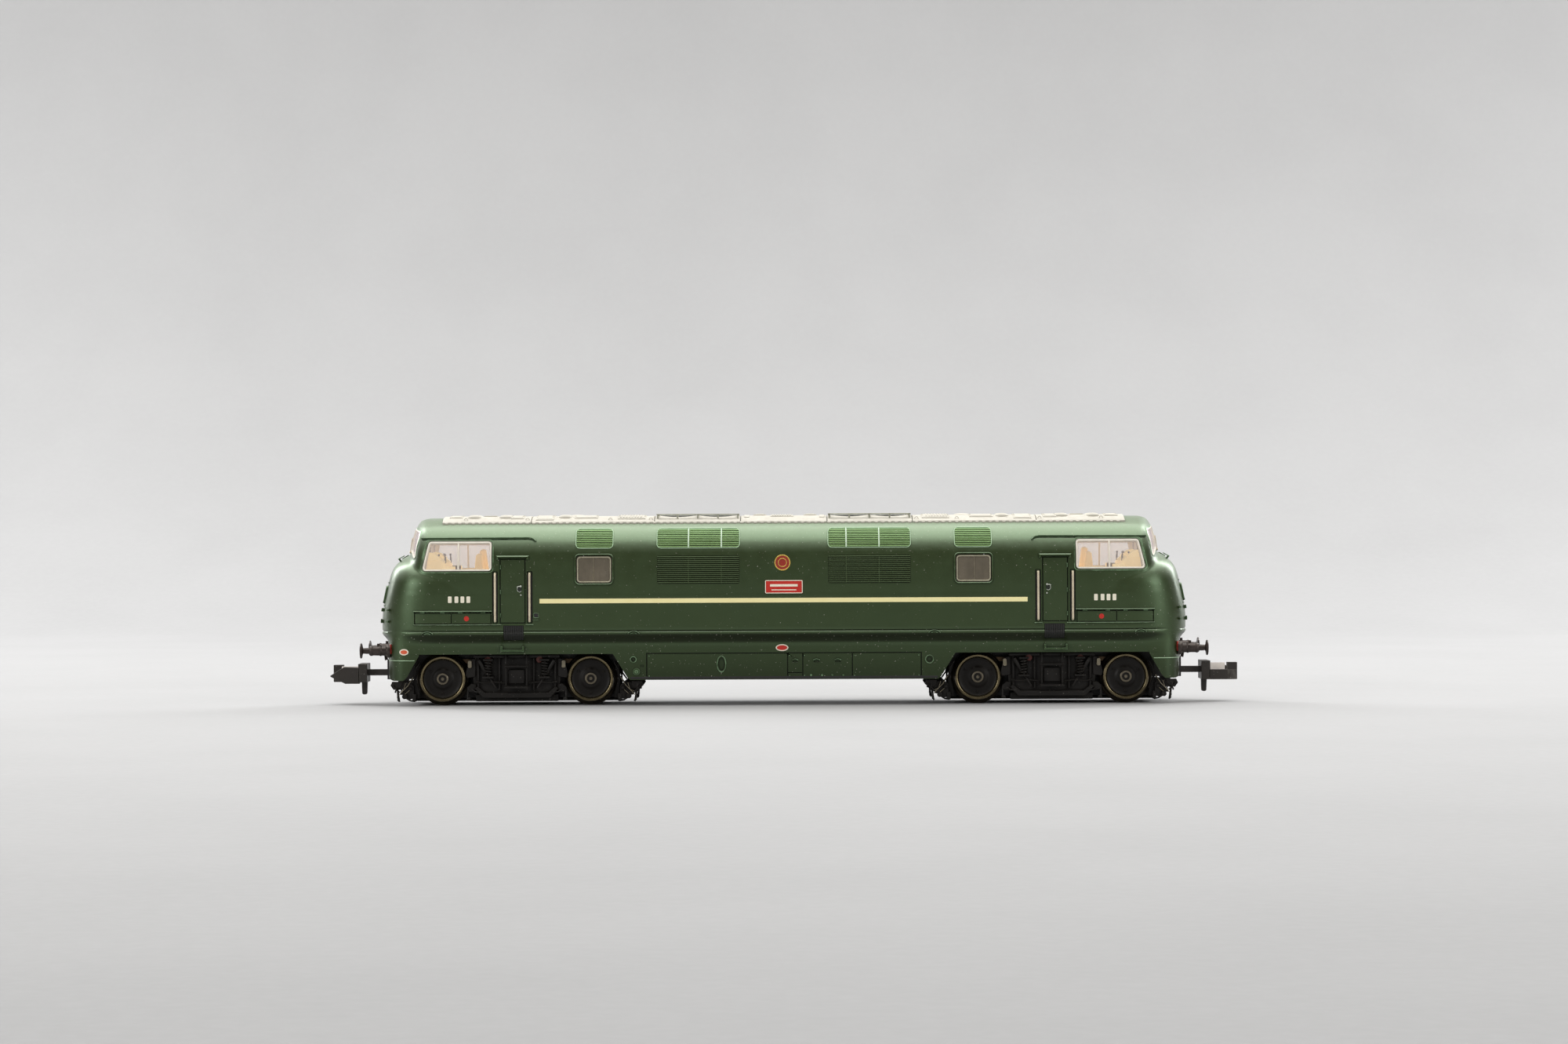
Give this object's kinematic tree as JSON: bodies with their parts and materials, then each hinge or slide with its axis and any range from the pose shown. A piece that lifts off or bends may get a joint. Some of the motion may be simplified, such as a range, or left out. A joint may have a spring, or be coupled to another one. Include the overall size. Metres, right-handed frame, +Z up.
{
  "type": "model diesel locomotive",
  "caption": "Scale model of a twin-cab diesel locomotive with a moulded body, a motor and flywheels, two driven swivelling bogies, buffers and sprung hook couplers.",
  "frame": {"origin": "bottom centre of the whole model: under the middle of the body, on the plane of the wheel flanges' lowest points", "axes": "+X along the track towards end 2, +Y across the track, +Z up"},
  "size_m": [0.1332, 0.0188, 0.0279],
  "materials": {
    "body_green": "satin dark green paint over moulded plastic",
    "roof_grey": "matt pale grey",
    "grille_metal": "fine etched metal",
    "clear_glazing": "clear moulded styrene",
    "tinted_glazing": "smoky moulded styrene",
    "cab_cream": "cream moulded plastic",
    "handrail_metal": "fine wire",
    "headcode_white": "frosted pane",
    "plate_red": "printed red panel with a cream border",
    "beam_red": "red",
    "buffer_metal": "dark turned metal",
    "chassis_metal": "blackened die casting",
    "motor_steel": "plated can",
    "white_plastic": "moulded nylon",
    "bearing_bronze": "sintered bronze",
    "board_green": "circuit board",
    "decoder_blue": "sleeved plug-in board",
    "screw_steel": "plated",
    "copper_winding": "wound wire on stamped poles",
    "ground_steel": "ground bar",
    "brass": "turned",
    "gearbox_black": "moulded",
    "bogie_black": "moulded",
    "pickup_bronze": "spring strip",
    "gear_plastic": "moulded acetal",
    "wheel_metal": "blackened wheel with a bronze-grey tread",
    "coupler_black": "moulded",
    "spring_steel": "wire"
  },
  "bodies": {
    "locomotive_body": {"body_shell": "body_green", "roof_strip": "roof_grey", "roof_grille_frames": "grille_metal", "cab_glazing_1": "clear_glazing", "cab_glazing_2": "clear_glazing", "side_window_glazing": "tinted_glazing", "cab_interior_1": "cab_cream", "cab_interior_2": "cab_cream", "door_handrails": "handrail_metal", "headcode_glazing": "headcode_white", "nameplates": "plate_red", "buffer_beam_1": "beam_red", "buffer_beam_2": "beam_red", "buffers_1": "buffer_metal", "buffers_2": "buffer_metal", "chassis_block": "chassis_metal", "motor_can": "motor_steel", "motor_brush_cap": "white_plastic", "shaft_bearings": "bearing_bronze", "circuit_board": "board_green", "decoder_plug": "decoder_blue", "led_boards": "board_green", "chassis_screws": "screw_steel"},
    "rotor": {"armature": "copper_winding", "motor_shaft": "ground_steel", "flywheel_1": "brass", "flywheel_2": "brass", "worm_1": "brass", "worm_2": "brass"},
    "bogie_1": {"gearbox_1": "gearbox_black", "bogie_frame_1": "bogie_black", "pickup_strips_1": "pickup_bronze", "gear_pins_1": "ground_steel"},
    "worm_wheel_body_1": {"worm_wheel_1": "gear_plastic"},
    "idler_body_1a": {"idler_gear_1a": "gear_plastic"},
    "wheelset_1a": {"wheels_1a": "wheel_metal", "axle_1a": "ground_steel", "axle_gear_1a": "gear_plastic"},
    "idler_body_1b": {"idler_gear_1b": "gear_plastic"},
    "wheelset_1b": {"wheels_1b": "wheel_metal", "axle_1b": "ground_steel", "axle_gear_1b": "gear_plastic"},
    "coupler_body_1": {"coupler_1": "coupler_black", "coupler_spring_1": "spring_steel"},
    "bogie_2": {"gearbox_2": "gearbox_black", "bogie_frame_2": "bogie_black", "pickup_strips_2": "pickup_bronze", "gear_pins_2": "ground_steel"},
    "worm_wheel_body_2": {"worm_wheel_2": "gear_plastic"},
    "idler_body_2a": {"idler_gear_2a": "gear_plastic"},
    "wheelset_2a": {"wheels_2a": "wheel_metal", "axle_2a": "ground_steel", "axle_gear_2a": "gear_plastic"},
    "idler_body_2b": {"idler_gear_2b": "gear_plastic"},
    "wheelset_2b": {"wheels_2b": "wheel_metal", "axle_2b": "ground_steel", "axle_gear_2b": "gear_plastic"},
    "coupler_body_2": {"coupler_2": "coupler_black", "coupler_spring_2": "spring_steel"}
  },
  "joints": [
    {"name": "motor_spin", "type": "hinge", "parent": "locomotive_body", "child": "rotor", "pos_m": [0, 0, 0.01148], "axis": [1, 0, 0], "continuous": true},
    {"name": "bogie_1_swivel", "type": "hinge", "parent": "locomotive_body", "child": "bogie_1", "pos_m": [-0.039, 0, 0.0085], "axis": [0, 0, 1], "range_deg": [-10, 10]},
    {"name": "worm_wheel_1_spin", "type": "hinge", "parent": "bogie_1", "child": "worm_wheel_body_1", "pos_m": [-0.039, 0, 0.00708], "axis": [0, 1, 0], "continuous": true},
    {"name": "idler_1a_spin", "type": "hinge", "parent": "bogie_1", "child": "idler_body_1a", "pos_m": [-0.04424, 0, 0.0046], "axis": [0, 1, 0], "continuous": true},
    {"name": "wheelset_1a_spin", "type": "hinge", "parent": "bogie_1", "child": "wheelset_1a", "pos_m": [-0.0498, 0, 0.0039], "axis": [0, 1, 0], "continuous": true},
    {"name": "idler_1b_spin", "type": "hinge", "parent": "bogie_1", "child": "idler_body_1b", "pos_m": [-0.03376, 0, 0.0046], "axis": [0, 1, 0], "continuous": true},
    {"name": "wheelset_1b_spin", "type": "hinge", "parent": "bogie_1", "child": "wheelset_1b", "pos_m": [-0.0282, 0, 0.0039], "axis": [0, 1, 0], "continuous": true},
    {"name": "coupler_1_lift", "type": "hinge", "parent": "bogie_1", "child": "coupler_body_1", "pos_m": [-0.0562, 0, 0.0047], "axis": [0, 1, 0], "range_deg": [0, 8], "stiffness_Nm_per_rad": 0.0001, "springref_deg": -5.73, "deforming": ["coupler_spring_1"]},
    {"name": "bogie_2_swivel", "type": "hinge", "parent": "locomotive_body", "child": "bogie_2", "pos_m": [0.039, 0, 0.0085], "axis": [0, 0, 1], "range_deg": [-10, 10]},
    {"name": "worm_wheel_2_spin", "type": "hinge", "parent": "bogie_2", "child": "worm_wheel_body_2", "pos_m": [0.039, 0, 0.00708], "axis": [0, 1, 0], "continuous": true},
    {"name": "idler_2a_spin", "type": "hinge", "parent": "bogie_2", "child": "idler_body_2a", "pos_m": [0.03376, 0, 0.0046], "axis": [0, 1, 0], "continuous": true},
    {"name": "wheelset_2a_spin", "type": "hinge", "parent": "bogie_2", "child": "wheelset_2a", "pos_m": [0.0282, 0, 0.0039], "axis": [0, 1, 0], "continuous": true},
    {"name": "idler_2b_spin", "type": "hinge", "parent": "bogie_2", "child": "idler_body_2b", "pos_m": [0.04424, 0, 0.0046], "axis": [0, 1, 0], "continuous": true},
    {"name": "wheelset_2b_spin", "type": "hinge", "parent": "bogie_2", "child": "wheelset_2b", "pos_m": [0.0498, 0, 0.0039], "axis": [0, 1, 0], "continuous": true},
    {"name": "coupler_2_lift", "type": "hinge", "parent": "bogie_2", "child": "coupler_body_2", "pos_m": [0.0562, 0, 0.0047], "axis": [0, -1, 0], "range_deg": [0, 8], "stiffness_Nm_per_rad": 0.0001, "springref_deg": -5.73, "deforming": ["coupler_spring_2"]}
  ],
  "couplings": [
    {"joint": "worm_wheel_1_spin", "follows": "motor_spin", "ratio": -0.071429},
    {"joint": "idler_1a_spin", "follows": "motor_spin", "ratio": 0.066667},
    {"joint": "wheelset_1a_spin", "follows": "motor_spin", "ratio": -0.076923},
    {"joint": "idler_1b_spin", "follows": "motor_spin", "ratio": 0.066667},
    {"joint": "wheelset_1b_spin", "follows": "motor_spin", "ratio": -0.076923},
    {"joint": "worm_wheel_2_spin", "follows": "motor_spin", "ratio": -0.071429},
    {"joint": "idler_2a_spin", "follows": "motor_spin", "ratio": 0.066667},
    {"joint": "wheelset_2a_spin", "follows": "motor_spin", "ratio": -0.076923},
    {"joint": "idler_2b_spin", "follows": "motor_spin", "ratio": 0.066667},
    {"joint": "wheelset_2b_spin", "follows": "motor_spin", "ratio": -0.076923}
  ]
}
